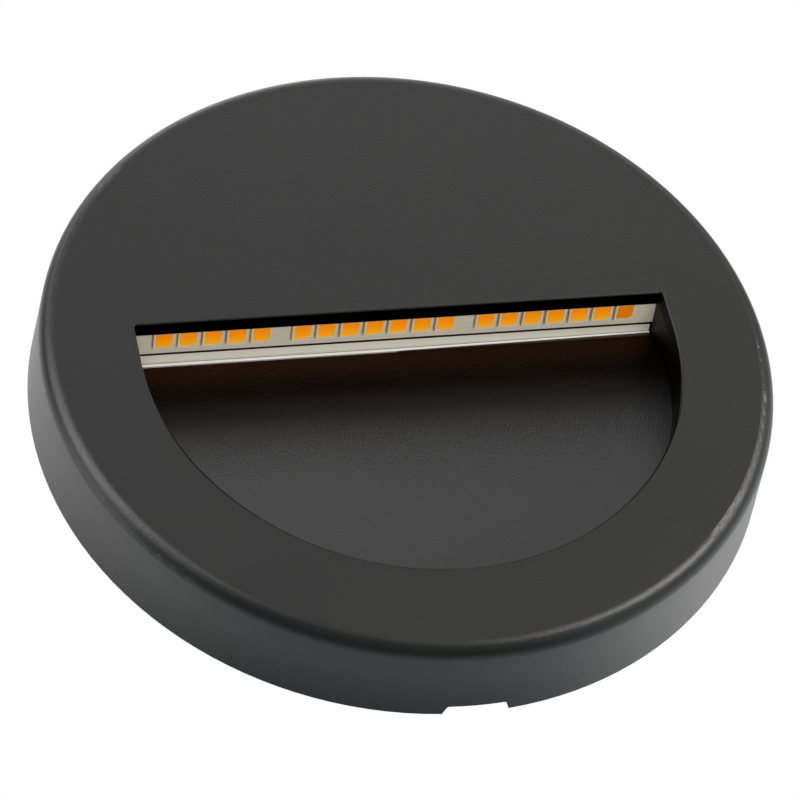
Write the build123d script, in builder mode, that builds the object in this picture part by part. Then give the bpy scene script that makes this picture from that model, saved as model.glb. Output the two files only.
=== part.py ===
from build123d import *
from math import atan2, cos, radians, sin, sqrt, tan
import os

# Round surface-mounted wall light: a half-moon window with a hidden row of LEDs that shines down.
# Wall plane y = 0, front towards -Y, +Z up, origin in the middle of the wall face. Millimetres.

# Cover
disc_d = 100.0          # across the rear rim
depth = 12.8            # wall to front face
draft = 3.55            # lean of the side wall, degrees
edge_fillet = 2.0       # front edge
front_wall = 2.35
side_wall = 2.2
inner_fillet = 1.0
window_r = 36.4         # window: a half disc, concentric with the cover, with straight sides above
window_top = 6.0        # straight upper edge above the middle
window_corner = 0.2
window_edge = 0.25      # broken edge round the window
notch_w = 8.8           # pry and drain notch in the rear rim, at the bottom
notch_h = 1.5
notch_lean = 0.55
notch_corner = 0.4
cover_gap = 0.3         # cover to the pieces that stay on the wall

# Base plate
base_t = 2.0
base_side_gap = 1.4     # cover's inner wall to the plate's edge
rim_inset = 0.6         # plate's edge to the raised rim
rim_t = 1.6
rim_h = 3.0
slot_spacing = 60.0     # wall screws
slot_z = 20.0
slot_l = 9.0
slot_w = 4.4
seal_w = 3.0            # foam ring against the wall
seal_t = 1.0
seal_inset = 1.2
seal_clear = 0.1

# Light scoop: the sloping floor of the recess
scoop_step = 0.1        # how far its wall stands back from the window's edge
scoop_wall = 1.8
floor_t = 1.4           # measured square to the wall plane
scoop_seat = 0.85       # floor to base plate at its deepest
scoop_edge_gap = 0.1    # scoop to the strip above it
post_r = 3.0
post_points = [(-19.0, -13.0), (19.0, -13.0), (0.0, -27.0)]

# LED strip, square to the scoop's floor
ceiling_rise = 0.3      # strip's deep corner above the window's straight edge
lip_set = 0.14          # reflector's turned-down lip in front of the floor
lip_t = 0.6
lip_drop = 0.94
band_w = 1.17           # reflector's flat band in front of the lip
reflector_gap = 0.2     # ends of the reflector to the scoop's walls
board_slot = 0.35
board_t = 1.0
board_overlap = 1.0     # board past the ends of the window's straight edge
tape_t = 0.2
shelf_t = 1.6
web_t = 1.4
carrier_inset = 3.6     # board left free at each end for its leads
led_counts = (5, 7, 7)
led_end_gap = 3.0       # last package to the end of the window's straight edge
led_gap = 0.5           # between packages
led_group_step = 1.697  # step from group to group, in pitches
led_l = 2.9
led_h = 0.65
led_edge = 0.1          # package to the board's front edge
phosphor_border = 0.25
phosphor_t = 0.3
phosphor_sunk = 0.04
phosphor_cut = 0.45     # cut corner that marks the polarity

# Chamber above the strip
inside_gap = 0.6        # pieces to the base plate's rim
chamber_gap = 0.4       # pieces to each other

# Driver
driver_right = 2.0
driver_w = 26.0
driver_t = 7.0
driver_wall = 1.2
driver_corner = 1.5
potting_sunk = 0.6
ear_w = 7.0
ear_l = 5.0
ear_t = 1.5
fence_t = 1.2           # low ribs of the base plate that hold the case in place
fence_h = 1.5
fence_l = 8.0
fence_gap = 0.15

# Terminal block
block_l = 10.0
block_w = 10.4
block_h = 7.0
block_chamfer = 0.4
pole_step = 6.4
pole_lift = 3.0         # pole axis above the base plate
clamp_side = 2.6
clamp_inset = 1.0       # clamp to the ends of the block
clamp_bore = 0.95
clamp_gap = 0.1
clamp_screw_step = 5.2
clamp_screw_r = 0.8
clamp_head_r = 1.1
clamp_head_h = 1.4
clamp_head_slot = 0.4
well_gap = 0.15
block_head_sunk = 1.5

# Cable entry
entry_offset = 12.0     # bore to the driver's case
entry_bore = 3.0
entry_sleeve = 1.0      # rubber between the bore and the plate's hole
entry_lip = 0.9
entry_lip_t = 0.7
entry_nose = 2.6
entry_nose_t = 0.8
entry_fit = 0.05

# Leads
lead_r = 0.6
lead_fit = 0.1
lead_bend = 1.2
lead_reach = 0.5        # bare end inside the clamp
lead_turn = 2.4         # bend to the driver's case
lead_jog = 3.4
led_lead_r = 0.5
led_lead_inset = (4.5, 7.5)
led_lead_y = (6.0, 8.0)
led_lead_lift = 0.5     # lead above the carrier's shelf
led_lead_bend = 1.6
solder_gap = 0.05

# Fasteners
screw_r = 1.25
screw_fit = 0.05
screw_head_r = 2.3
screw_head_h = 1.3
screw_cross = 0.5
screw_cross_l = 3.0
screw_cross_depth = 0.5
head_gap = 0.1
screw_bite = 1.7        # thread in the base plate
post_bite = 2.4         # thread in a scoop post
carrier_screw_x = (-27.0, 27.0)

# Spring clips
clip_angles = (90.0, 215.0, 325.0)
clip_arc = 10.0
clip_t = 0.4
clip_fit = 0.1
clip_foot = 0.4         # clip's legs to the base plate
clip_crest = 1.6        # crest of the bowed leg, from the rim's front

# Worked-out sizes
disc_r = disc_d / 2
taper = tan(radians(draft))
cover_inner = depth - front_wall                  # inner face of the cover, from the wall
front_r = disc_r - depth * taper
rear_inner_r = disc_r - side_wall
front_inner_r = rear_inner_r - cover_inner * taper
base_r = rear_inner_r - base_side_gap
rim_r = base_r - rim_inset
rim_inner_r = rim_r - rim_t
rim_front = base_t + rim_h
seal_r = base_r - seal_inset
flange = cover_inner - cover_gap                  # front of the scoop, from the wall
floor_top = base_t + scoop_seat + floor_t         # floor under the strip, from the wall
floor_slope = (flange - floor_top) / (window_r + window_top)
tilt = atan2(flange - floor_top, window_r + window_top)
scoop_r = window_r + scoop_step
corner_z = window_top + ceiling_rise
corner_y = -floor_top + ceiling_rise * floor_slope
reflector_half = scoop_r - reflector_gap
board_half = window_r + board_overlap
board_back = lip_set + band_w + board_slot
board_front = (flange + corner_y) / cos(tilt)
led_steps = sum(led_counts) - len(led_counts) + (len(led_counts) - 1) * led_group_step
led_pitch = (2 * (window_r - led_end_gap) + led_gap) / (led_steps + 1)
led_w = led_pitch - led_gap
led_row = board_front - led_edge - led_l / 2
shelf_low = board_t + tape_t
shelf_high = shelf_low + shelf_t
web_front = base_t + web_t
carrier_half = board_half - carrier_inset
pole_y = -(base_t + pole_lift)
tunnel = clamp_side + 2 * clamp_gap
clamp_front = base_t + pole_lift + clamp_side / 2
block_seat = base_t + block_h - block_head_sunk
entry_hole = entry_bore + entry_sleeve
entry_r = entry_hole + entry_lip


def half_disc(radius, top):
    # half a disc below the middle, with straight sides from there up to the top
    with BuildSketch() as outline:
        Circle(radius)
        Rectangle(2 * radius, radius, align=(Align.CENTER, Align.MIN), mode=Mode.SUBTRACT)
        Rectangle(2 * radius, top, align=(Align.CENTER, Align.MIN))
    return outline.sketch


def strip(out, up):
    # (y, z) of a point so far out from the strip's deep corner and so far up from the board's face
    return (
        corner_y - out * cos(tilt) + up * sin(tilt),
        corner_z + out * sin(tilt) + up * cos(tilt),
    )


def strip_z(y, up):
    # height, at this y, of the plane that lies so far up from the board's face
    return strip((corner_y + up * sin(tilt) - y) / cos(tilt), up)[1]


def floor_y(z):
    return -floor_top - (window_top - z) * floor_slope


def pan_screw(length):
    # seat at the origin, head towards -Y
    with BuildPart() as screw:
        with BuildSketch(Plane.XZ):
            Circle(screw_head_r)
        extrude(amount=screw_head_h)
        fillet(screw.edges().sort_by(Axis.Y)[0], screw_head_h * 0.4)
        with BuildSketch(Plane.XZ.offset(screw_head_h)):
            Rectangle(screw_cross_l, screw_cross)
            Rectangle(screw_cross, screw_cross_l)
        extrude(amount=-screw_cross_depth, mode=Mode.SUBTRACT)
        with BuildSketch(Plane.XZ):
            Circle(screw_r)
        extrude(amount=-length)
    return screw.part


def lead(points, radius, bend):
    # round wire along straight runs and arcs
    with BuildPart() as wire:
        with BuildLine() as route:
            FilletPolyline(*points, radius=bend)
        with BuildSketch(Plane(origin=route.line @ 0, z_dir=route.line % 0)):
            Circle(radius)
        sweep(path=route.line)
    return wire.part


def save(builder, name):
    builder.part.label = name
    export_step(builder.part, f"parts/{name}.step")


os.makedirs("parts", exist_ok=True)

# Layout of the chamber above the strip: driver on the left, cable entry and block on the right
room_r = rim_inner_r - inside_gap
web_screw_z = strip_z(-web_front - screw_head_h, shelf_high) + screw_head_r + head_gap
web_top = web_screw_z + screw_head_r
driver_x = driver_right - driver_w / 2
case_left = driver_right - driver_w
case_foot = web_top + chamber_gap + fence_t + fence_gap
ear_top = sqrt(room_r**2 - (ear_w / 2 - driver_x) ** 2)
case_top = min(ear_top - ear_l, sqrt(room_r**2 - case_left**2))
driver_h = case_top - case_foot
driver_z = (case_top + case_foot) / 2
ear_z = case_top + ear_l / 2
entry_x = driver_right + entry_offset
entry_z = web_top + chamber_gap + entry_r
block_foot = entry_z + entry_r + chamber_gap
block_z = block_foot + block_w / 2
block_right = sqrt(room_r**2 - (block_foot + block_w) ** 2)
block_x = block_right - block_l / 2
block_left = block_right - block_l
pole_z = (block_z - pole_step / 2, block_z + pole_step / 2)
lead_exits = [z - lead_jog for z in pole_z]
led_lead_x = [case_left + inset for inset in led_lead_inset]
carrier_points = [(x, web_screw_z) for x in carrier_screw_x]
plate_points = carrier_points + [(driver_x, ear_z), (block_x, block_z)]

# Front cover: a shallow drafted cup with the half-moon window
with BuildPart() as front_cover:
    with BuildSketch() as cup:
        with BuildLine():
            Polyline(
                (0, -depth),
                (front_r, -depth),
                (disc_r, 0),
                (rear_inner_r, 0),
                (front_inner_r, -cover_inner),
                (0, -cover_inner),
                close=True,
            )
        make_face()
        fillet(cup.vertices().sort_by_distance((front_r, -depth))[0], edge_fillet)
        fillet(cup.vertices().sort_by_distance((front_inner_r, -cover_inner))[0], inner_fillet)
    revolve(axis=Axis.Y)
    with BuildSketch(Plane.XZ) as window:
        add(half_disc(window_r, window_top))
        fillet(window.vertices().group_by(Axis.Z)[-1], window_corner)
    extrude(amount=depth, mode=Mode.SUBTRACT)
    front_face = front_cover.faces().sort_by(Axis.Y)[0]
    fillet(front_face.inner_wires()[0].edges(), window_edge)
    with BuildSketch(Plane.XY.offset(-disc_r)) as notch:
        with BuildLine():
            Polyline(
                (-notch_w / 2, 0),
                (-notch_w / 2 + notch_lean, -notch_h),
                (notch_w / 2 - notch_lean, -notch_h),
                (notch_w / 2, 0),
                close=True,
            )
        make_face()
        fillet(notch.vertices().sort_by(Axis.Y)[:2], notch_corner)
    extrude(amount=2 * side_wall, mode=Mode.SUBTRACT)
save(front_cover, "front_cover")

# Light scoop: a wedge-shaped tray, open at the top where the strip lies, on three screw posts
with BuildPart() as scoop_hollow:
    with BuildSketch(Plane.YZ):
        with BuildLine():
            Polyline(
                (-depth, window_r),
                (floor_y(window_r), window_r),
                (floor_y(-disc_r), -disc_r),
                (-depth - disc_r, -disc_r),
                (-depth - disc_r, window_r),
                close=True,
            )
        make_face()
    extrude(amount=disc_r, both=True)
    with BuildSketch(Plane.XZ):
        add(half_disc(scoop_r, disc_r))
    extrude(amount=depth, mode=Mode.INTERSECT)

with BuildPart() as light_scoop:
    with BuildSketch(Plane.YZ):
        with BuildLine():
            Polyline(
                (-flange, strip_z(-flange, -scoop_edge_gap)),
                strip(-floor_t * cos(tilt), -scoop_edge_gap),
                (floor_y(-window_r - floor_t) + floor_t, -window_r - floor_t),
                (-flange, -window_r - floor_t),
                close=True,
            )
        make_face()
    extrude(amount=disc_r, both=True)
    with BuildSketch(Plane.XZ):
        add(half_disc(scoop_r + scoop_wall, disc_r))
    extrude(amount=depth, mode=Mode.INTERSECT)
    with BuildSketch(Plane.XZ.offset(base_t)):
        with Locations(*post_points):
            Circle(post_r)
    extrude(amount=flange - base_t)
    add(scoop_hollow.part, mode=Mode.SUBTRACT)
    with BuildSketch(Plane.YZ):
        with BuildLine():
            Polyline(
                strip(lip_set + scoop_edge_gap, floor_t),
                strip(lip_set + scoop_edge_gap, -lip_drop - scoop_edge_gap),
                strip(-2 * floor_t, -lip_drop - scoop_edge_gap),
                strip(-2 * floor_t, floor_t),
                close=True,
            )
        make_face()
    extrude(amount=reflector_half + scoop_edge_gap, both=True, mode=Mode.SUBTRACT)
    with BuildSketch(Plane.XZ.offset(base_t)):
        with Locations(*post_points):
            Circle(screw_r + screw_fit)
    extrude(amount=post_bite + screw_fit, mode=Mode.SUBTRACT)
save(light_scoop, "light_scoop")

# Base plate: rim, low ribs round the driver, screw slots, cable hole, screw holes
with BuildPart() as base_plate:
    with BuildSketch(Plane.XZ):
        Circle(base_r)
    extrude(amount=base_t)
    with BuildSketch(Plane.XZ.offset(base_t)):
        Circle(rim_r)
        Circle(rim_inner_r, mode=Mode.SUBTRACT)
    extrude(amount=rim_h)
    with BuildSketch(Plane.XZ.offset(base_t)):
        with Locations(
            (case_left - fence_gap - fence_t / 2, case_top - fence_l),
            (driver_right + fence_gap + fence_t / 2, case_foot + fence_l / 2),
        ):
            Rectangle(fence_t, fence_l)
        with Locations((driver_x, case_foot - fence_gap - fence_t / 2)):
            Rectangle(fence_l, fence_t)
    extrude(amount=fence_h)
    with BuildSketch(Plane.XZ):
        Circle(seal_r + seal_clear)
        Circle(seal_r - seal_w - seal_clear, mode=Mode.SUBTRACT)
    extrude(amount=seal_t, mode=Mode.SUBTRACT)
    with BuildSketch(Plane.XZ):
        with Locations((-slot_spacing / 2, slot_z), (slot_spacing / 2, slot_z)):
            SlotOverall(slot_l, slot_w)
        with Locations((entry_x, entry_z)):
            Circle(entry_hole + entry_fit)
        with Locations(*plate_points, *post_points):
            Circle(screw_r + screw_fit)
    extrude(amount=base_t, mode=Mode.SUBTRACT)
    with BuildSketch(Plane.XZ):
        with Locations((entry_x, entry_z)):
            Circle(entry_r + entry_fit)
    extrude(amount=entry_lip_t + entry_fit, mode=Mode.SUBTRACT)
    with BuildSketch(Plane.XZ):
        with Locations(*post_points):
            Circle(screw_head_r + screw_fit)
    extrude(amount=screw_head_r - screw_r, taper=45, mode=Mode.SUBTRACT)
save(base_plate, "base_plate")

# Foam ring in the base plate's rear groove
with BuildPart() as wall_seal:
    with BuildSketch(Plane.XZ):
        Circle(seal_r)
        Circle(seal_r - seal_w, mode=Mode.SUBTRACT)
    extrude(amount=seal_t)
save(wall_seal, "wall_seal")

# Countersunk screws through the base plate into the scoop's posts
with BuildPart() as scoop_screws:
    with BuildSketch(Plane.XZ):
        with Locations(*post_points):
            Circle(screw_head_r)
    extrude(amount=screw_head_r - screw_r, taper=45)
    with BuildSketch(Plane.XZ):
        with Locations(*post_points):
            Circle(screw_r)
    extrude(amount=base_t + post_bite)
    with BuildSketch(Plane.XZ):
        with Locations(*post_points):
            Rectangle(screw_cross_l, screw_cross)
            Rectangle(screw_cross, screw_cross_l)
    extrude(amount=screw_cross_depth, mode=Mode.SUBTRACT)
save(scoop_screws, "scoop_screws")

# Board carrier: aluminium section with a web on the base plate and a slanting shelf
with BuildPart() as board_carrier:
    with BuildSketch(Plane.YZ):
        with BuildLine():
            Polyline(
                (-base_t, strip_z(-base_t, shelf_low)),
                (-base_t, web_top),
                (-web_front, web_top),
                (-web_front, strip_z(-web_front, shelf_high)),
                strip(board_front, shelf_high),
                strip(board_front, shelf_low),
                close=True,
            )
        make_face()
    extrude(amount=carrier_half, both=True)
    with BuildSketch(Plane.XZ.offset(base_t)):
        with Locations(*carrier_points):
            Circle(screw_r + head_gap)
    extrude(amount=web_t, mode=Mode.SUBTRACT)
save(board_carrier, "board_carrier")

with BuildPart() as carrier_screws:
    with Locations(*[(x, -web_front, z) for x, z in carrier_points]):
        add(pan_screw(web_t + screw_bite))
save(carrier_screws, "carrier_screws")

# Reflector strip: an angle under the shelf, its lip turned down to the floor's edge
with BuildPart() as reflector_strip:
    with BuildSketch(Plane.YZ):
        with BuildLine():
            Polyline(
                strip(lip_set + band_w, 0),
                strip(lip_set + band_w, shelf_low),
                strip(lip_set - lip_t, shelf_low),
                strip(lip_set - lip_t, -lip_drop),
                strip(lip_set, -lip_drop),
                strip(lip_set, 0),
                close=True,
            )
        make_face()
    extrude(amount=reflector_half, both=True)
save(reflector_strip, "reflector_strip")

# LED board and its heat-conducting tape
with BuildPart() as led_board:
    with BuildSketch(Plane.YZ):
        with BuildLine():
            Polyline(
                strip(board_back, 0),
                strip(board_front, 0),
                strip(board_front, board_t),
                strip(board_back, board_t),
                close=True,
            )
        make_face()
    extrude(amount=board_half, both=True)
save(led_board, "led_board")

with BuildPart() as thermal_tape:
    with BuildSketch(Plane.YZ):
        with BuildLine():
            Polyline(
                strip(board_back, board_t),
                strip(board_front, board_t),
                strip(board_front, shelf_low),
                strip(board_back, shelf_low),
                close=True,
            )
        make_face()
    extrude(amount=carrier_half, both=True)
save(thermal_tape, "thermal_tape")

# LED packages in three groups, each with a sunk phosphor window
led_x = []
reach = 0.0
for count in led_counts:
    led_x += [reach + k * led_pitch for k in range(count)]
    reach = led_x[-1] + led_group_step * led_pitch
led_middle = (led_x[0] + led_x[-1]) / 2
led_spots = [(x - led_middle, 0) for x in led_x]
face_y, face_z = strip(led_row, 0)
board_face = Plane(origin=(0, face_y, face_z), x_dir=(1, 0, 0), z_dir=(0, -sin(tilt), -cos(tilt)))
phosphor_w = led_w - 2 * phosphor_border
with BuildSketch() as phosphor_outline:
    Rectangle(phosphor_w, phosphor_w)
    chamfer(phosphor_outline.vertices().group_by(Axis.X)[-1].sort_by(Axis.Y)[0], phosphor_cut)

with BuildPart() as led_packages:
    with BuildSketch(board_face):
        with Locations(*led_spots):
            Rectangle(led_w, led_l)
    extrude(amount=led_h)
    with BuildSketch(board_face.offset(led_h)):
        with Locations(*led_spots):
            add(phosphor_outline.sketch)
    extrude(amount=-phosphor_t, mode=Mode.SUBTRACT)
save(led_packages, "led_packages")

with BuildPart() as led_phosphors:
    with BuildSketch(board_face.offset(led_h - phosphor_t)):
        with Locations(*led_spots):
            add(phosphor_outline.sketch)
    extrude(amount=phosphor_t - phosphor_sunk)
save(led_phosphors, "led_phosphors")

# Driver: an open case filled with resin, one ear with its screw, holes for the leads
with BuildPart() as driver_case:
    with BuildSketch(Plane.XZ.offset(base_t)):
        with Locations((driver_x, driver_z)):
            RectangleRounded(driver_w, driver_h, driver_corner)
    extrude(amount=driver_t)
    with BuildSketch(Plane.XZ.offset(base_t)):
        with Locations((driver_x, ear_z - driver_wall / 2)):
            Rectangle(ear_w, ear_l + driver_wall)
    extrude(amount=ear_t)
    with BuildSketch(Plane.XZ.offset(base_t + driver_wall)):
        with Locations((driver_x, driver_z)):
            Rectangle(driver_w - 2 * driver_wall, driver_h - 2 * driver_wall)
    extrude(amount=driver_t, mode=Mode.SUBTRACT)
    with BuildSketch(Plane.XZ.offset(base_t)):
        with Locations((driver_x, ear_z)):
            Circle(screw_r + head_gap)
    extrude(amount=ear_t, mode=Mode.SUBTRACT)
    with BuildSketch(Plane.YZ.offset(driver_right)):
        with Locations(*[(pole_y, z) for z in lead_exits]):
            Circle(lead_r + lead_fit)
    extrude(amount=-driver_wall, mode=Mode.SUBTRACT)
    with BuildSketch(Plane.XY.offset(case_foot)):
        with Locations(*[(x, -y) for x, y in zip(led_lead_x, led_lead_y)]):
            Circle(led_lead_r + lead_fit)
    extrude(amount=driver_wall, mode=Mode.SUBTRACT)
save(driver_case, "driver_case")

with BuildPart() as driver_potting:
    with BuildSketch(Plane.XZ.offset(base_t + driver_wall)):
        with Locations((driver_x, driver_z)):
            Rectangle(driver_w - 2 * driver_wall, driver_h - 2 * driver_wall)
    extrude(amount=driver_t - driver_wall - potting_sunk)
save(driver_potting, "driver_potting")

with BuildPart() as driver_screw:
    with Locations((driver_x, -(base_t + ear_t), ear_z)):
        add(pan_screw(ear_t + screw_bite))
save(driver_screw, "driver_screw")

# Terminal block: two poles along X, each a brass clamp with two screws
clamp_points = [(block_x + side * clamp_screw_step / 2, z) for side in (-1, 1) for z in pole_z]
with BuildPart() as terminal_block:
    with BuildSketch(Plane.XZ.offset(base_t)):
        with Locations((block_x, block_z)):
            Rectangle(block_l, block_w)
    extrude(amount=block_h)
    chamfer(terminal_block.faces().sort_by(Axis.Y)[0].edges(), block_chamfer)
    with BuildSketch(Plane.YZ.offset(block_left)):
        with Locations(*[(pole_y, z) for z in pole_z]):
            Rectangle(tunnel, tunnel)
    extrude(amount=block_l, mode=Mode.SUBTRACT)
    with BuildSketch(Plane.XZ.offset(base_t + pole_lift)):
        with Locations(*clamp_points):
            Circle(clamp_head_r + well_gap)
    extrude(amount=block_h, mode=Mode.SUBTRACT)
    with BuildSketch(Plane.XZ.offset(base_t)):
        with Locations((block_x, block_z)):
            Circle(screw_r + head_gap)
    extrude(amount=block_h, mode=Mode.SUBTRACT)
    with BuildSketch(Plane.XZ.offset(block_seat)):
        with Locations((block_x, block_z)):
            Circle(screw_head_r + head_gap)
    extrude(amount=block_h, mode=Mode.SUBTRACT)
save(terminal_block, "terminal_block")

with BuildPart() as terminal_clamps:
    with BuildSketch(Plane.YZ.offset(block_left + clamp_inset)):
        with Locations(*[(pole_y, z) for z in pole_z]):
            Rectangle(clamp_side, clamp_side)
            Circle(clamp_bore, mode=Mode.SUBTRACT)
    extrude(amount=block_l - 2 * clamp_inset)
    with BuildSketch(Plane.XZ.offset(-pole_y)):
        with Locations(*clamp_points):
            Circle(clamp_screw_r + screw_fit)
    extrude(amount=clamp_side, mode=Mode.SUBTRACT)
save(terminal_clamps, "terminal_clamps")

with BuildPart() as terminal_screws:
    with BuildSketch(Plane.XZ.offset(-pole_y)):
        with Locations(*clamp_points):
            Circle(clamp_screw_r)
    extrude(amount=clamp_front + pole_y)
    with BuildSketch(Plane.XZ.offset(clamp_front)):
        with Locations(*clamp_points):
            Circle(clamp_head_r)
    extrude(amount=clamp_head_h)
    with BuildSketch(Plane.XZ.offset(clamp_front + clamp_head_h)):
        with Locations(*clamp_points):
            Rectangle(2 * clamp_head_r, clamp_head_slot)
    extrude(amount=-clamp_head_h / 2, mode=Mode.SUBTRACT)
save(terminal_screws, "terminal_screws")

with BuildPart() as block_screw:
    with Locations((block_x, -block_seat, block_z)):
        add(pan_screw(block_seat - base_t + screw_bite))
save(block_screw, "block_screw")

# Cable grommet: a lip on each side of the base plate and a nose inside
nose_front = base_t + entry_lip_t + entry_nose
with BuildPart() as cable_grommet:
    with BuildSketch(Plane((entry_x, 0, entry_z), x_dir=(1, 0, 0), z_dir=(0, 0, 1))):
        with BuildLine():
            Polyline(
                (entry_bore, 0),
                (entry_r, 0),
                (entry_r, -entry_lip_t),
                (entry_hole, -entry_lip_t),
                (entry_hole, -base_t),
                (entry_r, -base_t),
                (entry_r, -base_t - entry_lip_t),
                (entry_hole, -base_t - entry_lip_t),
                (entry_bore + entry_nose_t, -nose_front),
                (entry_bore, -nose_front),
                close=True,
            )
        make_face()
    revolve(axis=Axis((entry_x, 0, entry_z), (0, 1, 0)))
save(cable_grommet, "cable_grommet")

# Leads: terminal block to driver, driver to LED board
supply_parts = []
turn_x = driver_right + lead_turn
for exit_z, end_z in zip(lead_exits, pole_z):
    supply_parts.append(
        lead(
            [
                (driver_right - driver_wall, pole_y, exit_z),
                (turn_x, pole_y, exit_z),
                (turn_x, pole_y, end_z),
                (block_left + clamp_inset + lead_reach, pole_y, end_z),
            ],
            lead_r,
            lead_bend,
        )
    )

led_parts = []
pad_x = -(board_half - carrier_inset / 2)
for start_x, y in zip(led_lead_x, led_lead_y):
    run_z = strip_z(-y, shelf_high) + led_lead_r + led_lead_lift
    led_parts.append(
        lead(
            [
                (start_x, -y, case_foot + driver_wall),
                (start_x, -y, run_z),
                (pad_x, -y, run_z),
                (pad_x, -y, strip_z(-y - led_lead_r, board_t) + solder_gap),
            ],
            led_lead_r,
            led_lead_bend,
        )
    )

with BuildPart() as supply_lead_a:
    add(supply_parts[0])
save(supply_lead_a, "supply_lead_a")

with BuildPart() as supply_lead_b:
    add(supply_parts[1])
save(supply_lead_b, "supply_lead_b")

with BuildPart() as led_lead_a:
    add(led_parts[0])
save(led_lead_a, "led_lead_a")

with BuildPart() as led_lead_b:
    add(led_parts[1])
save(led_lead_b, "led_lead_b")

# Spring clips pushed over the base plate's rim, their bowed legs towards the cover's wall
leg_in = rim_inner_r - clip_fit
leg_out = rim_r + clip_fit
bridge = -(rim_front + clip_fit)
foot = -(base_t + clip_foot)
crest_y = -(rim_front - clip_crest)
crest_r = rear_inner_r + crest_y * taper - cover_gap
with BuildPart() as cover_clips:
    for angle in clip_angles:
        start = radians(angle + clip_arc / 2)
        clip_plane = Plane(
            origin=(0, 0, 0),
            x_dir=(cos(start), 0, sin(start)),
            z_dir=(-sin(start), 0, cos(start)),
        )
        with BuildSketch(clip_plane):
            with BuildLine():
                Polyline(
                    (leg_in, foot),
                    (leg_in, bridge),
                    (leg_out, bridge),
                    (crest_r - clip_t, crest_y),
                    (leg_out, foot),
                    (leg_out + clip_t, foot),
                    (crest_r, crest_y),
                    (leg_out + clip_t, bridge - clip_t),
                    (leg_in - clip_t, bridge - clip_t),
                    (leg_in - clip_t, foot),
                    close=True,
                )
            make_face()
        revolve(axis=Axis.Y, revolution_arc=clip_arc)
save(cover_clips, "cover_clips")
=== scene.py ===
import bpy
import numpy as np
from mathutils import Matrix


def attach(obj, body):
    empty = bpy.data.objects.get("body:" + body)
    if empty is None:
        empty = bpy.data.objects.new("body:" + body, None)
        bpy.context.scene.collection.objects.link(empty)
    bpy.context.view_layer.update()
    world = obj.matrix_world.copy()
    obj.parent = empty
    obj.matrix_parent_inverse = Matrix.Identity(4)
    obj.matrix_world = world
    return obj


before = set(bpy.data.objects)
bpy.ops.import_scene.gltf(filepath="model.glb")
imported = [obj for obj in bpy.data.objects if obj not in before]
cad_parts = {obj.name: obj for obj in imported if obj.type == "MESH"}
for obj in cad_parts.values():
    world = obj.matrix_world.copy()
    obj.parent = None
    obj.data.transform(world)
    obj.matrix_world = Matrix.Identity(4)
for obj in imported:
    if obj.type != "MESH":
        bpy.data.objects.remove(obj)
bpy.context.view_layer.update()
scene = bpy.context.scene
scene.view_settings.view_transform = "Standard"
print("frame loaded:", len(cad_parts), "nodes")


# small tools for node trees
def put(tree, kind, sockets=None, **settings):
    node = tree.nodes.new(kind)
    for key, value in settings.items():
        setattr(node, key, value)
    for key, value in (sockets or {}).items():
        node.inputs[key].default_value = value
    return node


def wire(tree, source, target):
    tree.links.new(source, target)


# gives a socket another node's output, a colour or a plain number
def feed(tree, value, target):
    if isinstance(value, bpy.types.NodeSocket):
        wire(tree, value, target)
    else:
        target.default_value = (*value, 1) if isinstance(value, tuple) else value


# a group takes a Vector and some numbers, and puts out numbers that change over the surface
def newGroup(name, numbers, results):
    tree = bpy.data.node_groups.new(name, "ShaderNodeTree")
    tree.interface.new_socket("Vector", in_out="INPUT", socket_type="NodeSocketVector")
    for label, value in numbers.items():
        socket = tree.interface.new_socket(label, in_out="INPUT", socket_type="NodeSocketFloat")
        socket.default_value = value
    for label in results:
        tree.interface.new_socket(label, in_out="OUTPUT", socket_type="NodeSocketFloat")
    return tree, tree.nodes.new("NodeGroupInput").outputs, tree.nodes.new("NodeGroupOutput").inputs


def newMaterial(name):
    material = bpy.data.materials.new(name)
    material.use_nodes = True
    tree = material.node_tree
    return material, tree, tree.nodes["Principled BSDF"]


# a material together with the piece's own coordinates, for a finish that changes over the surface
def newFinish(name):
    material, tree, shader = newMaterial(name)
    return material, tree, shader, put(tree, "ShaderNodeTexCoord").outputs["Object"]


mixSockets = {"FLOAT": (2, 3, 0), "RGBA": (6, 7, 2)}  # a Mix node's two inputs and its output, by kind


# goes from under to over as the mask goes from 0 to 1
def layOver(tree, mask, under, over, kind="RGBA"):
    first, second, result = mixSockets[kind]
    mix = put(tree, "ShaderNodeMix", data_type=kind)
    for value, socket in ((mask, 0), (under, first), (over, second)):
        feed(tree, value, mix.inputs[socket])
    return mix.outputs[result]


# goes from low to high while the value goes from start to end
def span(tree, value, low, high, start=0.0, end=1.0, **settings):
    node = put(tree, "ShaderNodeMapRange", {1: start, 2: end, 3: low, 4: high}, **settings)
    wire(tree, value, node.inputs[0])
    return node.outputs[0]


# masks: 1 past a place, or 1 short of it, with a soft step
def past(tree, value, at, step):
    return span(tree, value, 0.0, 1.0, at, at + step)


def short(tree, value, at, step):
    return span(tree, value, 1.0, 0.0, at, at + step)


def calc(tree, operation, *values):
    node = put(tree, "ShaderNodeMath", operation=operation)
    for value, socket in zip(values, node.inputs):
        feed(tree, value, socket)
    return node.outputs[0]


def both(tree, first, second):
    return calc(tree, "MULTIPLY", first, second)


def most(tree, first, second):
    return calc(tree, "MAXIMUM", first, second)


def vectorCalc(tree, operation, vector, other=(0.0, 0.0, 0.0)):
    node = put(tree, "ShaderNodeVectorMath", {1: other}, operation=operation)
    wire(tree, vector, node.inputs[0])
    return node.outputs


def axesOf(tree, vector):
    node = put(tree, "ShaderNodeSeparateXYZ")
    wire(tree, vector, node.inputs[0])
    return node.outputs


# coat grain: fine noise plus rounded cells for the height, slow noise for the cloudy tone
coatShape = dict(grains=2600.0, detail=3.0, roughness=0.6, smoothness=0.6, cellShare=0.55,
                 clouds=60.0, cloudDetail=4.0, cloudRoughness=0.55)


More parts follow.
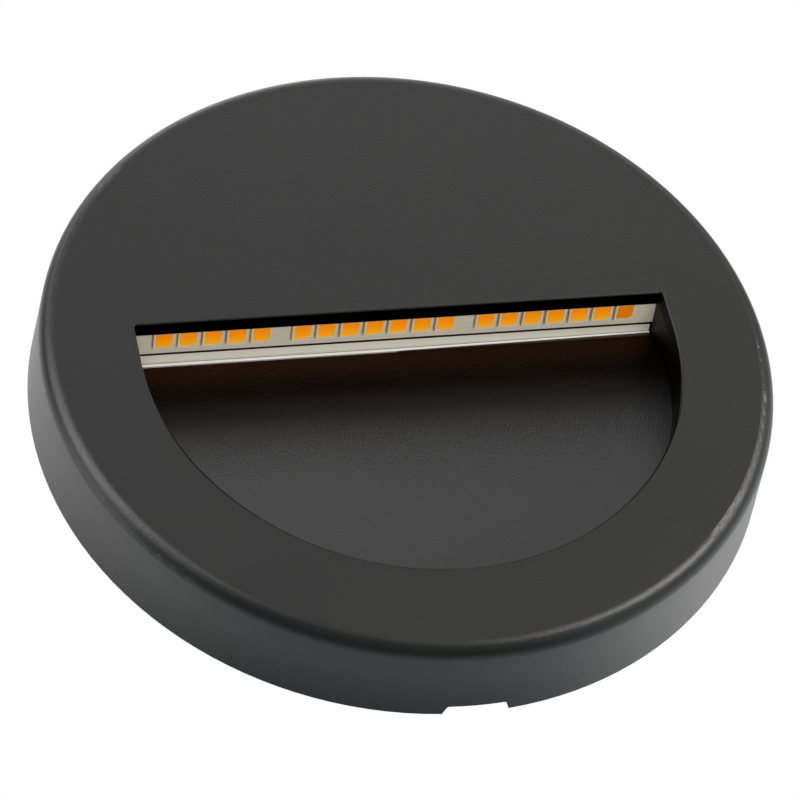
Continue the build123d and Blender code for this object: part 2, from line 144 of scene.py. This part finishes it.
def makeCoatGrain(look):
    numbers = dict(Grains=look["grains"], Clouds=look["clouds"])
    tree, given, gives = newGroup("coatGrain", numbers, ("Height", "Cloud"))
    fine = put(tree, "ShaderNodeTexNoise", {"Detail": look["detail"], "Roughness": look["roughness"]})
    cells = put(tree, "ShaderNodeTexVoronoi", {"Smoothness": look["smoothness"]}, feature="SMOOTH_F1")
    slow = put(tree, "ShaderNodeTexNoise", {"Detail": look["cloudDetail"], "Roughness": look["cloudRoughness"]})
    for texture, scale in ((fine, "Grains"), (cells, "Grains"), (slow, "Clouds")):
        wire(tree, given["Vector"], texture.inputs["Vector"])
        wire(tree, given[scale], texture.inputs["Scale"])
    height = calc(tree, "MULTIPLY_ADD", cells.outputs["Distance"], look["cellShare"], fine.outputs["Fac"])
    wire(tree, height, gives["Height"])
    wire(tree, slow.outputs["Fac"], gives["Cloud"])
    return tree


# spark grain: fine noise with soft dots round scattered cell points, as an eroded mould gives
sparkShape = dict(grains=3800.0, detail=2.0, roughness=0.6, dots=1000.0, dotFull=0.05, dotEnd=0.28, dotShare=0.2)


def makeSparkGrain(look):
    numbers = dict(Grains=look["grains"], Dots=look["dots"])
    tree, given, gives = newGroup("sparkGrain", numbers, ("Height", "Dot"))
    fine = put(tree, "ShaderNodeTexNoise", {"Detail": look["detail"], "Roughness": look["roughness"]})
    points = put(tree, "ShaderNodeTexVoronoi", feature="F1")
    for texture, scale in ((fine, "Grains"), (points, "Dots")):
        wire(tree, given["Vector"], texture.inputs["Vector"])
        wire(tree, given[scale], texture.inputs["Scale"])
    dot = span(tree, points.outputs["Distance"], 1.0, 0.0, look["dotFull"], look["dotEnd"],
               interpolation_type="SMOOTHSTEP")
    wire(tree, calc(tree, "MULTIPLY_ADD", dot, look["dotShare"], fine.outputs["Fac"]), gives["Height"])
    wire(tree, dot, gives["Dot"])
    return tree


# drawn metal: noise stretched along X, so it reads as fine lines; depth is how deep they are as a bump
lineShape = dict(lines=4000.0, squeeze=(0.02, 1.0, 1.0), detail=3.0, roughness=0.6, depth=0.00002)


def makeDrawnLines(look):
    tree, given, gives = newGroup("drawnLines", dict(Lines=look["lines"]), ("Line",))
    noise = put(tree, "ShaderNodeTexNoise", {"Detail": look["detail"], "Roughness": look["roughness"]})
    wire(tree, vectorCalc(tree, "MULTIPLY", given["Vector"], look["squeeze"])["Vector"], noise.inputs["Vector"])
    wire(tree, given["Lines"], noise.inputs["Scale"])
    wire(tree, noise.outputs["Fac"], gives["Line"])
    return tree


coatGrain = makeCoatGrain(coatShape)
sparkGrain = makeSparkGrain(sparkShape)
drawnLines = makeDrawnLines(lineShape)
print("node groups made")


def useGroup(tree, group, place, **values):
    node = put(tree, "ShaderNodeGroup", values, node_tree=group)
    wire(tree, place, node.inputs["Vector"])
    return node.outputs


def bumpUp(tree, shader, height, strength, distance):
    bump = put(tree, "ShaderNodeBump", {"Strength": strength, "Distance": distance})
    wire(tree, height, bump.inputs["Height"])
    wire(tree, bump.outputs[0], shader.inputs["Normal"])


# a moulded, coated or rubbery finish: cloudy tone between two colours, grain as bump
def grainedFinish(name, look):
    material, tree, shader, place = newFinish(name)
    grain = useGroup(tree, coatGrain, place, Grains=look["grains"], Clouds=look["clouds"])
    wire(tree, layOver(tree, grain["Cloud"], look["low"], look["high"]), shader.inputs["Base Color"])
    wire(tree, span(tree, grain["Height"], *look["rough"]), shader.inputs["Roughness"])
    bumpUp(tree, shader, grain["Height"], look["bump"], look["depth"])
    return material


# a drawn or rolled metal: lines change the tone and the gloss; it may have a dark zone along Y, on the rear
# screws painted shade in their cross recess
def metalFinish(name, look):
    material, tree, shader, place = newFinish(name)
    lines = useGroup(tree, drawnLines, place, Lines=look["lines"])
    tone = layOver(tree, lines["Line"], look["low"], look["high"])
    if "dark" in look:
        inDark = span(tree, axesOf(tree, place)["Y"], 0.0, 1.0, look["darkFrom"], look["darkTo"])
        tone = layOver(tree, inDark, tone, look["dark"])
    wire(tree, tone, shader.inputs["Base Color"])
    wire(tree, span(tree, lines["Line"], *look["rough"]), shader.inputs["Roughness"])
    shader.inputs["Metallic"].default_value = look.get("metal", 1.0)
    bumpUp(tree, shader, lines["Line"], look["bump"], lineShape["depth"])
    return material


def dress(material, *names):
    for name in names:
        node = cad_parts[name]
        node.data.materials.clear()
        node.data.materials.append(material)


# cover: matte dark grey powder coat with a fine grain; the wall of its window is painted near black and metallic
# as painted shade
cover = dict(low=(0.0112, 0.0114, 0.0115), high=(0.0142, 0.0142, 0.0141), rough=(0.31, 0.36), specular=0.5,
             grains=3400.0, clouds=55.0, bump=0.34, depth=0.00006,
             wall=(0.002, 0.002, 0.002), roughWall=0.6, wallStart=-0.01262, wallEnd=-0.0105, wallStep=0.00003,
             wallR=0.0372, wallRStep=0.0001, edgeR=0.03666, edgeStep=0.00001, edgeLow=-0.016, edgeHigh=-0.004,
             fadeLow=-0.034, fadeHigh=-0.018, fadeLeast=0.5,
             rearShadeR=0.047, rearShadeStep=0.0005, rearShadeFrom=-0.008, rearShadeTo=0.0, rearShadeMost=0.58)


def coverFinish(look):
    material, tree, shader, place = newFinish("coverCoat")
    grain = useGroup(tree, coatGrain, place, Grains=look["grains"], Clouds=look["clouds"])
    axes = axesOf(tree, place)
    flat = vectorCalc(tree, "MULTIPLY", place, (1.0, 0.0, 1.0))["Vector"]
    reach = vectorCalc(tree, "LENGTH", flat)["Value"]  # distance from the middle axis
    # window wall, painted near black as painted shade: close to the middle axis, behind the front and before the
    # rear face;
    # in the lower half the rounded edge is painted dark with it as painted shade, at the very bottom only in part
    behindFront = past(tree, axes["Y"], look["wallStart"], look["wallStep"])
    beforeRear = short(tree, axes["Y"], look["wallEnd"], look["wallStep"])
    inWindow = short(tree, reach, look["wallR"], look["wallRStep"])
    inEdge = short(tree, reach, look["edgeR"], look["edgeStep"])
    lower = span(tree, axes["Z"], 1.0, 0.0, look["edgeLow"], look["edgeHigh"])
    fading = span(tree, axes["Z"], look["fadeLeast"], 1.0, look["fadeLow"], look["fadeHigh"])
    rimShade = both(tree, inEdge, both(tree, lower, fading))
    shadedWall = both(tree, beforeRear, most(tree, both(tree, behindFront, inWindow), rimShade))
    tone = layOver(tree, grain["Cloud"], look["low"], look["high"])
    wire(tree, layOver(tree, shadedWall, tone, look["wall"]), shader.inputs["Base Color"])
    gloss = span(tree, grain["Height"], *look["rough"])
    wire(tree, layOver(tree, shadedWall, gloss, look["roughWall"], "FLOAT"), shader.inputs["Roughness"])
    # painted shade: the side wall reflects less and less towards its rear rim, so it darkens there
    rearShade = both(tree, span(tree, axes["Y"], 0.0, look["rearShadeMost"], look["rearShadeFrom"], look["rearShadeTo"]),
                past(tree, reach, look["rearShadeR"], look["rearShadeStep"]))
    wire(tree, most(tree, shadedWall, rearShade), shader.inputs["Metallic"])
    shader.inputs["Specular IOR Level"].default_value = look["specular"]
    bumpUp(tree, shader, grain["Height"], look["bump"], look["depth"])
    return material


dress(coverFinish(cover), "front_cover")

# scoop: black moulding with the fine, slightly glossy grain of an eroded mould, stronger towards the top
scoop = dict(low=(0.005, 0.005, 0.005), high=(0.0065, 0.0064, 0.0063), rough=(0.36, 0.48), specular=0.29,
             grains=3800.0, dots=2400.0, bump=0.42, depth=0.00012,
             grainLow=0.4, grainHigh=3.2, grainFrom=-0.022, grainTo=-0.002,
             wall=(0.002, 0.002, 0.002), wallR=0.03644, wallStep=0.00004,
             ledReflection=(0.041, 0.0122, 0.0002), ledReflectionFrom=0.0002, ledReflectionTo=0.0035,
             stripReflection=(0.0139, 0.0093, 0.0067), reflectionFrom=-0.004, reflectionTo=-0.0005)


def scoopFinish(look):
    material, tree, shader, place = newFinish("scoopPlastic")
    grain = useGroup(tree, sparkGrain, place, Grains=look["grains"], Dots=look["dots"])
    axes = axesOf(tree, place)
    # side wall, painted near black and metallic as painted shade: further out than the floor's rim; above the
    # middle it is straight, so only X counts there
    sideways = put(tree, "ShaderNodeCombineXYZ")
    wire(tree, axes["X"], sideways.inputs["X"])
    wire(tree, calc(tree, "MINIMUM", axes["Z"], 0.0), sideways.inputs["Z"])
    reach = vectorCalc(tree, "LENGTH", sideways.outputs[0])["Value"]
    shadedWall = past(tree, reach, look["wallR"], look["wallStep"])
    # top of the floor, close under the LEDs: a painted reflection of their orange, and further down a dimmer
    # painted reflection of the strip, both made metallic
    ledReflectionShare = span(tree, axes["Z"], 0.0, 1.0, look["ledReflectionFrom"], look["ledReflectionTo"])
    inReflection = span(tree, axes["Z"], 0.0, 1.0, look["reflectionFrom"], look["reflectionTo"])
    tone = layOver(tree, grain["Dot"], look["high"], look["low"])
    tone = layOver(tree, inReflection, tone, layOver(tree, ledReflectionShare, look["stripReflection"], look["ledReflection"]))
    wire(tree, layOver(tree, shadedWall, tone, look["wall"]), shader.inputs["Base Color"])
    wire(tree, most(tree, inReflection, shadedWall), shader.inputs["Metallic"])
    wire(tree, span(tree, grain["Height"], *look["rough"]), shader.inputs["Roughness"])
    shader.inputs["Specular IOR Level"].default_value = look["specular"]
    relief = span(tree, axes["Z"], look["grainLow"], look["grainHigh"], look["grainFrom"], look["grainTo"])
    bumpUp(tree, shader, both(tree, grain["Height"], relief), look["bump"], look["depth"])
    return material


dress(scoopFinish(scoop), "light_scoop")

# slant of the LED strip: its deep corner, and how far one unit out along the board runs and rises
slant = dict(corner=(0.0, -0.0042083, 0.0063), run=0.990457, rise=0.137823)
alongBoard = (0.0, -slant["run"], slant["rise"])
acrossBoard = (0.0, slant["rise"], slant["run"])

# reflector: satin white band that runs over the bend; painted shade as a grey line in the crease, a bright lower
# edge painted near white as a highlight, and painted shade on the dark cut edge
# (outStart and upStart are the deep corner's places along and across the board, the others count from there)
reflector = dict(band=(0.57, 0.53, 0.45), bandDark=(0.54, 0.50, 0.42), creaseShade=(0.20, 0.18, 0.16),
                 lipHighlight=(0.95, 0.94, 0.91), foot=(0.03, 0.02, 0.014), edgeShadow=(0.004, 0.004, 0.004),
                 outStart=0.00503643, bandEnd=0.00131, edgeFrom=-0.00002, edgeTo=-0.00001,
                 upStart=0.0056599, lineUp=-0.00036, lipUp=-0.00048, lineSoft=0.00002,
                 footUp=-0.00092, footSoft=0.00003,
                 climb=0.0003, footClimb=0.00046, climbFrom=0.0, climbTo=0.034,
                 rough=(0.28, 0.4), lines=5000.0, bump=0.08)


def reflectorFinish(look):
    material, tree, shader, place = newFinish("reflectorStrip")
    lines = useGroup(tree, drawnLines, place, Lines=look["lines"])
    out = vectorCalc(tree, "DOT_PRODUCT", place, alongBoard)["Value"]
    up = vectorCalc(tree, "DOT_PRODUCT", place, acrossBoard)["Value"]
    # the painted crease shade and lip highlight climb towards the right end and leave a dark foot of painted
    # shade below them
    right = axesOf(tree, place)["X"]
    climb = span(tree, right, 0.0, look["climb"], look["climbFrom"], look["climbTo"])
    footClimb = span(tree, right, 0.0, look["footClimb"], look["climbFrom"], look["climbTo"])
    level = calc(tree, "SUBTRACT", up, climb)
    footLevel = calc(tree, "SUBTRACT", up, footClimb)
    lineUp, lipUp, footUp = (look["upStart"] + look[key] for key in ("lineUp", "lipUp", "footUp"))
    bandEnd = look["outStart"] + look["bandEnd"]
    soft = look["lineSoft"]
    onCreaseShade = span(tree, level, 1.0, 0.0, lineUp - soft, lineUp + soft)
    onLipHighlight = span(tree, level, 1.0, 0.0, lipUp - soft, lipUp + soft)
    onFootShade = span(tree, footLevel, 1.0, 0.0, footUp - look["footSoft"], footUp)
    onEdgeShadow = span(tree, out, 0.0, 1.0, bandEnd + look["edgeFrom"], bandEnd + look["edgeTo"])
    tone = layOver(tree, lines["Line"], look["bandDark"], look["band"])
    for mask, colour in ((onCreaseShade, "creaseShade"), (onLipHighlight, "lipHighlight"), (onFootShade, "foot"), (onEdgeShadow, "edgeShadow")):
        tone = layOver(tree, mask, tone, look[colour])
    wire(tree, tone, shader.inputs["Base Color"])
    wire(tree, span(tree, lines["Line"], *look["rough"]), shader.inputs["Roughness"])
    bumpUp(tree, shader, lines["Line"], look["bump"], lineShape["depth"])
    return material


dress(reflectorFinish(reflector), "reflector_strip")

# LED board: cream solder mask with faint tracks along its length, one every 0.85 mm of depth
board = dict(mask=(0.54, 0.49, 0.38), maskLow=(0.49, 0.44, 0.34), rough=(0.35, 0.5), grains=1800.0, clouds=140.0,
             bump=0.1, depth=0.00002, track=(0.57, 0.52, 0.41), waves=7400.0, crestFrom=0.75, crestTo=0.9,
             trackMost=0.4)


def boardFinish(look):
    material, tree, shader, place = newFinish("ledBoard")
    grain = useGroup(tree, coatGrain, place, Grains=look["grains"], Clouds=look["clouds"])
    swing = calc(tree, "SINE", both(tree, axesOf(tree, place)["Y"], look["waves"]))
    onTrack = span(tree, swing, 0.0, look["trackMost"], look["crestFrom"], look["crestTo"])
    tone = layOver(tree, grain["Cloud"], look["maskLow"], look["mask"])
    wire(tree, layOver(tree, onTrack, tone, look["track"]), shader.inputs["Base Color"])
    wire(tree, span(tree, grain["Height"], *look["rough"]), shader.inputs["Roughness"])
    bumpUp(tree, shader, grain["Height"], look["bump"], look["depth"])
    return material


dress(boardFinish(board), "led_board")

# LED packages: pale moulded frames
ledBody = dict(low=(0.53, 0.47, 0.34), high=(0.60, 0.55, 0.43), rough=(0.3, 0.45), grains=3500.0, clouds=300.0,
               bump=0.05, depth=0.00002)
dress(grainedFinish("ledBody", ledBody), "led_packages")

# phosphors: orange gel, deeper in colour out along the board; the last one on the right is painted darker as
# shade
phosphor = dict(low=(1.0, 0.42, 0.008), high=(1.0, 0.27, 0.001), fadeFrom=0.0085, fadeTo=0.0101,
                last=(0.80, 0.20, 0.001), lastX=0.03035, lastStep=0.00001,
                rough=(0.4, 0.55), specular=0.15, grains=6000.0, bump=0.08, depth=0.00002)


def phosphorFinish(look):
    material, tree, shader, place = newFinish("ledPhosphor")
    grain = useGroup(tree, coatGrain, place, Grains=look["grains"])
    out = vectorCalc(tree, "DOT_PRODUCT", place, alongBoard)["Value"]
    fade = span(tree, out, 0.0, 1.0, look["fadeFrom"], look["fadeTo"])
    inLastShade = past(tree, axesOf(tree, place)["X"], look["lastX"], look["lastStep"])
    tone = layOver(tree, inLastShade, layOver(tree, fade, look["low"], look["high"]), look["last"])
    wire(tree, tone, shader.inputs["Base Color"])
    wire(tree, span(tree, grain["Height"], *look["rough"]), shader.inputs["Roughness"])
    shader.inputs["Specular IOR Level"].default_value = look["specular"]
    bumpUp(tree, shader, grain["Height"], look["bump"], look["depth"])
    return material


dress(phosphorFinish(phosphor), "led_phosphors")

# pieces on and in the base plate
basePlate = dict(low=(0.018, 0.018, 0.019), high=(0.028, 0.028, 0.029), rough=(0.5, 0.65), grains=1800.0,
                 clouds=45.0, bump=0.2, depth=0.00005)
driverCase = dict(low=(0.011, 0.011, 0.012), high=(0.019, 0.019, 0.02), rough=(0.4, 0.55), grains=1500.0,
                  clouds=80.0, bump=0.2, depth=0.00004)
resin = dict(low=(0.006, 0.006, 0.007), high=(0.012, 0.012, 0.013), rough=(0.12, 0.3), grains=300.0,
             clouds=90.0, bump=0.12, depth=0.00015)
block = dict(low=(0.66, 0.65, 0.60), high=(0.78, 0.77, 0.73), rough=(0.35, 0.48), grains=1400.0,
             clouds=110.0, bump=0.12, depth=0.00003)
rubber = dict(low=(0.012, 0.012, 0.012), high=(0.022, 0.022, 0.021), rough=(0.6, 0.8), grains=1600.0,
              clouds=120.0, bump=0.25, depth=0.00005)
foam = dict(low=(0.012, 0.012, 0.012), high=(0.035, 0.035, 0.034), rough=(0.8, 0.95), grains=1100.0,
            clouds=500.0, bump=0.9, depth=0.0003)
tape = dict(low=(0.55, 0.57, 0.6), high=(0.68, 0.7, 0.72), rough=(0.5, 0.65), grains=900.0,
            clouds=200.0, bump=0.2, depth=0.00004)
dress(grainedFinish("basePlastic", basePlate), "base_plate")
dress(grainedFinish("casePlastic", driverCase), "driver_case")
dress(grainedFinish("pottingResin", resin), "driver_potting")
dress(grainedFinish("blockPlastic", block), "terminal_block")
dress(grainedFinish("grommetRubber", rubber), "cable_grommet")
dress(grainedFinish("sealFoam", foam), "wall_seal")
dress(grainedFinish("thermalTape", tape), "thermal_tape")

# metals
carrier = dict(low=(0.018, 0.018, 0.019), high=(0.03, 0.03, 0.031), rough=(0.35, 0.5), lines=3500.0, bump=0.15,
               metal=0.3)
springSteel = dict(low=(0.38, 0.38, 0.39), high=(0.56, 0.56, 0.56), rough=(0.2, 0.36), lines=4200.0, bump=0.12)
brass = dict(low=(0.55, 0.37, 0.12), high=(0.74, 0.53, 0.2), rough=(0.22, 0.4), lines=3600.0, bump=0.12)
dress(metalFinish("carrierAluminium", carrier), "board_carrier")
dress(metalFinish("springSteel", springSteel), "cover_clips")
dress(metalFinish("clampBrass", brass), "terminal_clamps")

# screws: zinc-plated; painted shade darkens the cross recess of the rear screws, which lies below their level
# heads;
# the cut ends of the others, which show in the base plate's rear face, are darker as well
rearScrews = dict(low=(0.26, 0.27, 0.28), high=(0.40, 0.41, 0.42), rough=(0.34, 0.5), lines=5200.0, bump=0.14,
                  dark=(0.012, 0.012, 0.012), darkFrom=-0.00004, darkTo=-0.0001)
frontScrews = dict(low=(0.36, 0.37, 0.38), high=(0.54, 0.55, 0.55), rough=(0.26, 0.42), lines=5200.0, bump=0.14,
                   dark=(0.10, 0.10, 0.10), darkFrom=-0.0006, darkTo=-0.0003)
dress(metalFinish("rearScrewSteel", rearScrews), "scoop_screws")
dress(metalFinish("frontScrewSteel", frontScrews), "carrier_screws", "driver_screw", "block_screw",
      "terminal_screws")

# lead insulation: one kind of skin, two tones for each lead
leadSkin = dict(rough=(0.32, 0.45), grains=2200.0, clouds=260.0, bump=0.1, depth=0.00003)
leads = dict(
    supply_lead_a=dict(low=(0.07, 0.028, 0.012), high=(0.11, 0.045, 0.02)),
    supply_lead_b=dict(low=(0.012, 0.06, 0.28), high=(0.02, 0.09, 0.38)),
    led_lead_a=dict(low=(0.36, 0.012, 0.01), high=(0.5, 0.022, 0.016)),
    led_lead_b=dict(low=(0.008, 0.008, 0.008), high=(0.016, 0.016, 0.016)),
)
for leadName, tones in leads.items():
    dress(grainedFinish(leadName + "Skin", {**leadSkin, **tones}), leadName)
print("finishes given to", len(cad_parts), "nodes")


# a point of the strip: out along the slanting board from its deep corner, up square to it
def stripPoint(x, out, up):
    x, out, up = np.broadcast_arrays(x, out, up)
    run, rise = slant["run"], slant["rise"]
    return np.array(slant["corner"]) + np.stack([x, up * rise - out * run, out * rise + up * run], axis=-1)


def addObject(name, data):
    thing = bpy.data.objects.new(name, data)
    scene.collection.objects.link(thing)
    return thing


def addPiece(name, points, faces, material):
    mesh = bpy.data.meshes.new(name)
    mesh.from_pydata(points.reshape(-1, 3).tolist(), [], faces)
    mesh.materials.append(material)
    piece = addObject(name, mesh)
    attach(piece, "base")
    return piece


# terminals: beside each package a solder fillet, a hollow quarter ellipse from the board to the package's side
terminals = dict(pitch=0.0033, step=0.0056, groups=(5, 7, 7), halfWidth=0.0014, row=0.004449, halfLength=0.00125,
                 reach=0.00011, rise=0.00045, gap=0.00001, steps=6)
dullSolder = dict(low=(0.42, 0.35, 0.25), high=(0.56, 0.48, 0.36), rough=(0.4, 0.55), lines=2600.0, bump=0.1,
                  metal=0.2)


# places of the LEDs in X: one pitch within a group, a wider step between groups, the row centred
def ledCentres(look):
    gaps = [np.r_[look["step"], np.full(count - 1, look["pitch"])] for count in look["groups"]]
    places = np.cumsum(np.concatenate(gaps))
    return places - (places[0] + places[-1]) / 2


def makeTerminals(look):
    angle = np.linspace(0, np.pi / 2, look["steps"])
    away = np.r_[look["reach"] * (1 - np.sin(angle)), 0.0] + look["gap"]
    height = np.r_[look["rise"] * (1 - np.cos(angle)), 0.0] + look["gap"]
    side = np.array((-1.0, 1.0))
    centres = ledCentres(look)
    x = centres[:, None, None, None] + side[None, :, None, None] * (look["halfWidth"] + away)
    out = look["row"] + side[:, None] * look["halfLength"]
    points = stripPoint(x, out, -height)
    count = away.size
    ring = np.arange(count)
    after = np.roll(ring, -1)
    walls = np.stack([ring, after, after + count, ring + count], axis=-1)
    caps = [ring[::-1], ring + count]
    faces = []
    for number in range(centres.size * 2):  # one fillet each, left and right by turns
        flip = -1 if number % 2 else 1  # the right ones are mirrored, so their faces are turned round
        faces += [(face + number * 2 * count)[::flip].tolist() for face in (*walls, *caps)]
    return addPiece("ledTerminals", points, faces, metalFinish("dullTin", dullSolder))


ledTerminals = makeTerminals(terminals)

# lead joints: on the rear of the board a trumpet of solder round each lead's end; its radius is the neck's plus
# the rest of the foot's times the square of the height still to go
joints = dict(x=-0.0356, y=(-0.006, -0.008), foot=0.00095, neck=0.00056, height=0.0011, boardT=0.001, gap=0.00001,
              turns=28, rows=9)
solder = dict(low=(0.16, 0.16, 0.16), high=(0.26, 0.26, 0.26), rough=(0.25, 0.4), lines=2600.0, bump=0.1)


def makeJoints(look):
    turns, rows = look["turns"], look["rows"]
    turn = np.linspace(0, 2 * np.pi, turns, endpoint=False)
    rise = np.linspace(0, 1, rows)
    radius = look["neck"] + (look["foot"] - look["neck"]) * (1 - rise) ** 2
    x = look["x"] + radius[:, None] * np.cos(turn)
    up = look["boardT"] + rise[:, None] * look["height"] + look["gap"]
    row, column = np.meshgrid(np.arange(rows - 1), np.arange(turns), indexing="ij")
    after = (column + 1) % turns
    lower, upper = row * turns, (row + 1) * turns
    quads = np.stack([lower + column, lower + after, upper + after, upper + column], -1).reshape(-1, 4)
    ring = np.arange(turns)
    points, faces = [], []
    for number, middle in enumerate(look["y"]):
        y = middle + radius[:, None] * np.sin(turn)
        z = slant["corner"][2] + (up - (y - slant["corner"][1]) * slant["rise"]) / slant["run"]
        points.append(np.stack([x, y, z], axis=-1).reshape(-1, 3))
        start = number * turns * rows
        faces += (quads + start).tolist()
        faces += [(start + ring[::-1]).tolist(), (start + (rows - 1) * turns + ring).tolist()]
    return addPiece("leadJoints", np.concatenate(points), faces, metalFinish("solderTin", solder))


makeJoints(joints)
print("solder pieces made")


# a matrix from three axes and a place
def poseOf(right, up, back, place):
    pose = np.eye(4)
    pose[:3] = np.column_stack([right, up, back, place])
    return Matrix(pose.tolist())


# camera of the photograph: place and axes worked out from the outline, window, LED row and notch
view = dict(place=(-0.1126156, -0.3674702, -0.2772009), right=(0.968959, -0.148746, -0.197464),
            up=(0.065929, -0.614338, 0.786284), ahead=(0.238266, 0.774896, 0.585462),
            lens=157.5, sensor=36.0, clip=0.01)
cameraData = bpy.data.cameras.new("photoCamera")
cameraData.lens = view["lens"]
cameraData.sensor_width = view["sensor"]
cameraData.clip_start = view["clip"]
camera = addObject("photoCamera", cameraData)
camera.matrix_world = poseOf(view["right"], view["up"], -np.array(view["ahead"]), view["place"])
scene.camera = camera

# studio: the camera sees white all round; reflections see white behind the object, a dim room in front of it
# and less light, a little cooler, from below; the light itself gets a low even level
studio = dict(white=1.0, neutral=(1.0, 1.0, 1.0), ambient=0.18, room=0.1, roomY=-0.1, whiteY=0.35,
              below=0.7, cool=(0.86, 1.0, 1.0), belowZ=-0.55, levelZ=-0.1)


def makeWorld(look):
    world = bpy.data.worlds.new("studio")
    scene.world = world
    world.use_nodes = True
    tree = world.node_tree
    back = tree.nodes["Background"]
    path = put(tree, "ShaderNodeLightPath").outputs
    axes = axesOf(tree, put(tree, "ShaderNodeTexCoord").outputs["Generated"])
    behind = span(tree, axes["Y"], look["room"], look["white"], look["roomY"], look["whiteY"])
    under = span(tree, axes["Z"], look["below"], look["white"], look["belowZ"], look["levelZ"])
    mirrored = most(tree, path["Is Glossy Ray"], path["Is Transmission Ray"])
    strength = layOver(tree, mirrored, look["ambient"], both(tree, behind, under), "FLOAT")
    strength = layOver(tree, path["Is Camera Ray"], strength, look["white"], "FLOAT")
    wire(tree, strength, back.inputs["Strength"])
    level = span(tree, axes["Z"], 0.0, 1.0, look["belowZ"], look["levelZ"])
    level = most(tree, level, path["Is Camera Ray"])
    wire(tree, layOver(tree, level, look["cool"], look["neutral"]), back.inputs["Color"])


makeWorld(studio)

# floor: pale paint that the camera sees a little brighter, far below the light
ground = dict(z=-0.8, size=6.0, paint=(0.86, 0.86, 0.86), rough=0.8, shine=(1.0, 1.0, 1.0), glow=0.75)


def makeFloor(look):
    corners = np.array([(-1, -1), (1, -1), (1, 1), (-1, 1)]) * look["size"] / 2
    mesh = bpy.data.meshes.new("floor")
    mesh.from_pydata(np.column_stack([corners, np.full(4, look["z"])]).tolist(), [], [(0, 1, 2, 3)])
    material, tree, shader = newMaterial("floorPaint")
    shader.inputs["Base Color"].default_value = (*look["paint"], 1)
    shader.inputs["Roughness"].default_value = look["rough"]
    shader.inputs["Emission Color"].default_value = (*look["shine"], 1)
    seen = put(tree, "ShaderNodeLightPath").outputs["Is Camera Ray"]
    wire(tree, both(tree, seen, look["glow"]), shader.inputs["Emission Strength"])
    mesh.materials.append(material)
    return addObject("floor", mesh)


floor = makeFloor(ground)
floor.visible_glossy = False

# soft boxes: each is turned so that it faces the object; some light only the pieces they name, one all others
coverOnly = ("front_cover",)
strip = ("led_board", "led_packages", "led_phosphors", "reflector_strip", "ledTerminals")
litPieces = {**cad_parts, "ledTerminals": ledTerminals}
softBoxes = dict(
    topBox=dict(toward=(0.05, -0.32, 0.945), distance=2.0, size=(1.8, 1.0), power=35.0, skip=coverOnly),
    frontBox=dict(toward=(0.08, -0.64, 0.766), distance=2.0, size=(1.8, 0.5), power=3.6, only=("light_scoop",)),
    topRightBox=dict(toward=(0.324, -0.379, 0.867), distance=0.9, size=(0.81, 0.71), power=1.67, only=coverOnly),
    topLeftBox=dict(toward=(-0.195, -0.127, 0.972), distance=0.9, size=(0.34, 1.05), power=1.79, only=coverOnly),
    rightBox=dict(toward=(0.609, -0.79, 0.066), distance=0.9, size=(0.4, 0.4), power=4.6, only=coverOnly,
                  colour=(1.0, 0.97, 0.93)),
    faceBox=dict(toward=(-0.529, -0.761, 0.375), distance=0.9, size=(0.83, 0.49), power=4.78, only=coverOnly),
    leftBox=dict(toward=(-0.921, -0.374, 0.112), distance=0.9, size=(1.4, 0.5), power=3.32, only=coverOnly),
    sideBox=dict(toward=(0.947, -0.272, -0.173), distance=0.9, size=(1.4, 1.4), power=3.9, only=coverOnly,
                 colour=(0.93, 1.0, 1.0)),
    lowBox=dict(toward=(0.0, -0.7, -0.7), distance=0.85, size=(0.5, 0.4), power=5.7, only=strip),
    backBox=dict(toward=(0.6, 0.75, -0.1), distance=0.9, size=(0.7, 0.6), power=0.5),
)


def softBox(name, look):
    data = bpy.data.lights.new(name, "AREA")
    data.shape = "RECTANGLE"
    data.size, data.size_y = look["size"]
    data.energy = look["power"]
    data.color = look.get("colour", (1.0, 1.0, 1.0))
    lamp = addObject(name, data)
    away = np.array(look["toward"]) / np.linalg.norm(look["toward"])
    side = np.cross((0.0, 0.0, 1.0), away)
    side /= np.linalg.norm(side)
    lamp.matrix_world = poseOf(side, np.cross(away, side), away, away * look["distance"])
    named = look.get("only", look.get("skip"))
    if named:
        lit = bpy.data.collections.new(name + "Lit")
        for piece in named:
            lit.objects.link(litPieces[piece])
        for entry in lit.collection_objects:
            entry.light_linking.link_state = "INCLUDE" if "only" in look else "EXCLUDE"
        lamp.light_linking.receiver_collection = lit


for name, look in softBoxes.items():
    softBox(name, look)
print("camera, world, floor and", len(softBoxes), "soft boxes set")
